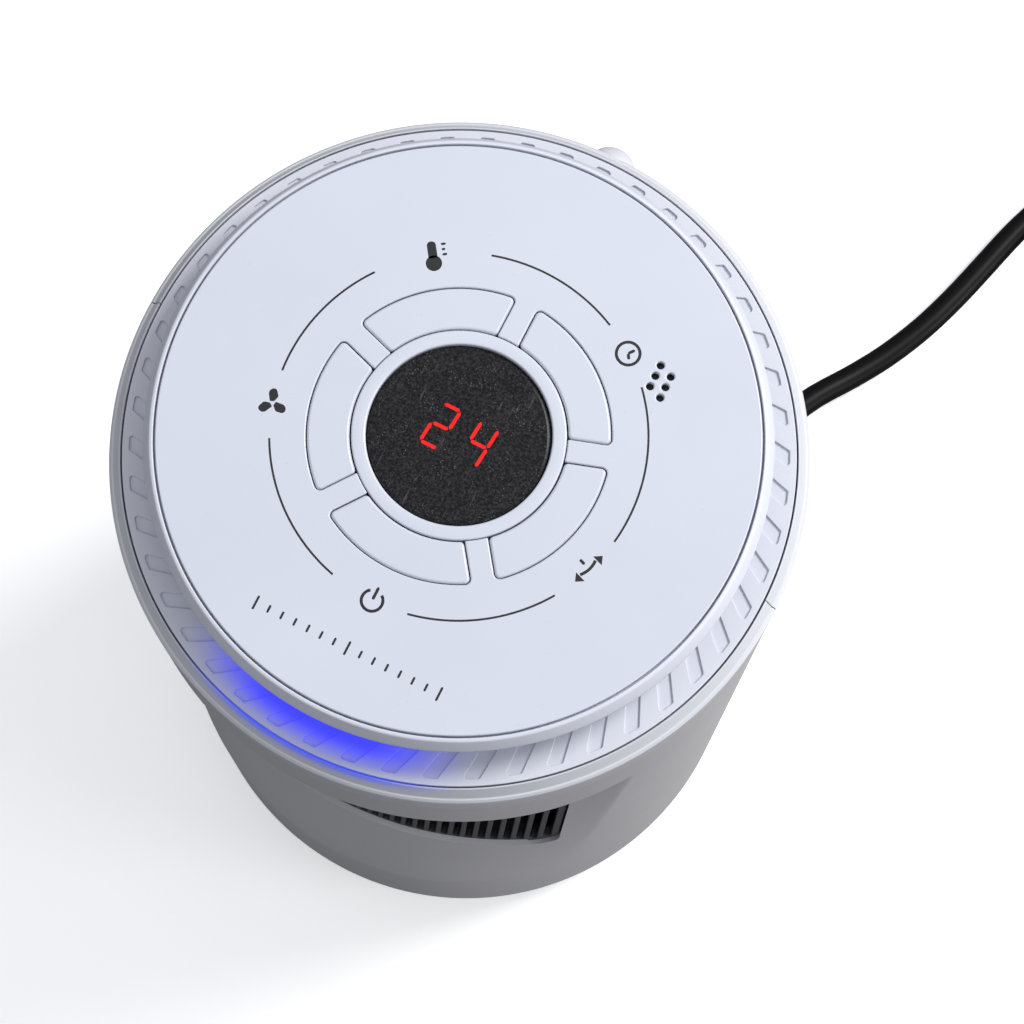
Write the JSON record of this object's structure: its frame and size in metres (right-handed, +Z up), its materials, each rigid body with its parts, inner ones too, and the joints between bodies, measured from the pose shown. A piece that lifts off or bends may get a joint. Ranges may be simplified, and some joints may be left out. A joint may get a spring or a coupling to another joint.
{
  "type": "ceramic space heater",
  "caption": "Round tabletop ceramic fan heater that swings on a flat base, with a touch-key top panel, display, light ring and a corded plug.",
  "frame": {"origin": "on the floor, under the tower's vertical axis", "axes": "+Z up, -Y out of the warm-air outlet (front), +X to the right seen from above with the front towards the viewer"},
  "size_m": [0.3181, 0.3736, 0.279],
  "materials": {
    "white_plastic": "fine matt texture",
    "white_gloss": "smooth satin",
    "key_plastic": "satin",
    "diffuser": "satin translucent",
    "black_lens": "fine speckle",
    "dark_plastic": "matt",
    "grey_plastic": "matt",
    "rubber": "matt",
    "cord_plastic": "soft sheen",
    "steel": "brushed",
    "heat_fin": "folded sheet",
    "ceramic": "fired ceramic",
    "board": "lacquered",
    "nylon": "satin",
    "filter": "fine net"
  },
  "bodies": {
    "base": {"base_housing": "white_plastic", "base_plate": "dark_plastic", "foot_1": "rubber", "foot_2": "rubber", "foot_3": "rubber", "foot_4": "rubber", "base_screw_1": "steel", "base_screw_2": "steel", "base_screw_3": "steel", "base_screw_4": "steel", "tip_switch_body": "dark_plastic", "fixed_gear": "nylon", "glide_ring": "nylon", "pivot_retainer": "nylon", "cord_gland": "cord_plastic", "power_cord": "cord_plastic", "cord_tail": "cord_plastic", "cord_coil": "cord_plastic", "cord_tie": "cord_plastic", "mains_plug": "cord_plastic"},
    "tower": {"tower_floor": "grey_plastic", "front_shell": "white_plastic", "rear_shell": "white_plastic", "outlet_grille": "dark_plastic", "rear_grille": "white_plastic", "dust_filter": "filter", "collar_front": "white_plastic", "collar_rear": "white_plastic", "top_deck": "grey_plastic", "light_ring": "diffuser", "lamp_board": "board", "control_cap": "white_gloss", "control_panel": "white_plastic", "display_bezel": "white_plastic", "display_lens": "black_lens", "display_module": "dark_plastic", "control_board": "board", "buzzer": "dark_plastic", "element_frame": "dark_plastic", "ceramic_element": "ceramic", "heat_fin_1": "heat_fin", "heat_fin_2": "heat_fin", "heat_fin_3": "heat_fin", "heat_fin_4": "heat_fin", "heat_fin_5": "heat_fin", "thermal_cutout": "steel", "fan_duct": "grey_plastic", "fan_motor": "steel", "motor_bracket": "grey_plastic", "power_board": "board", "swing_motor": "steel"},
    "fan": {"impeller": "dark_plastic", "fan_shaft": "steel"},
    "pinion": {"pinion": "nylon"},
    "plunger": {"tip_plunger": "nylon"},
    "key_power": {"key_power": "key_plastic"},
    "key_swing": {"key_swing": "key_plastic"},
    "key_timer": {"key_timer": "key_plastic"},
    "key_temperature": {"key_temperature": "key_plastic"},
    "key_mode": {"key_mode": "key_plastic"}
  },
  "joints": [
    {"name": "tower_swing", "type": "hinge", "parent": "base", "child": "tower", "pos_m": [0, 0, 0.023], "axis": [0, 0, 1], "range_deg": [-35, 35]},
    {"name": "pinion_spin", "type": "hinge", "parent": "tower", "child": "pinion", "pos_m": [0, 0.036, 0.0189], "axis": [0, 0, 1], "range_deg": [-110, 110]},
    {"name": "fan_spin", "type": "hinge", "parent": "tower", "child": "fan", "pos_m": [0, 0.024, 0.166], "axis": [0, 1, 0], "continuous": true},
    {"name": "plunger_slide", "type": "slide", "parent": "base", "child": "plunger", "axis": [0, 0, 1], "range_m": [-0.003, 0], "stiffness_N_per_m": 100, "springref_m": -0.004},
    {"name": "press_power", "type": "slide", "parent": "tower", "child": "key_power", "axis": [0, 0, -1], "range_m": [0, 0.0008], "stiffness_N_per_m": 400, "springref_m": -0.0005},
    {"name": "press_swing", "type": "slide", "parent": "tower", "child": "key_swing", "axis": [0, 0, -1], "range_m": [0, 0.0008], "stiffness_N_per_m": 400, "springref_m": -0.0005},
    {"name": "press_timer", "type": "slide", "parent": "tower", "child": "key_timer", "axis": [0, 0, -1], "range_m": [0, 0.0008], "stiffness_N_per_m": 400, "springref_m": -0.0005},
    {"name": "press_temperature", "type": "slide", "parent": "tower", "child": "key_temperature", "axis": [0, 0, -1], "range_m": [0, 0.0008], "stiffness_N_per_m": 400, "springref_m": -0.0005},
    {"name": "press_mode", "type": "slide", "parent": "tower", "child": "key_mode", "axis": [0, 0, -1], "range_m": [0, 0.0008], "stiffness_N_per_m": 400, "springref_m": -0.0005}
  ],
  "couplings": [
    {"joint": "pinion_spin", "follows": "tower_swing", "ratio": 3}
  ]
}
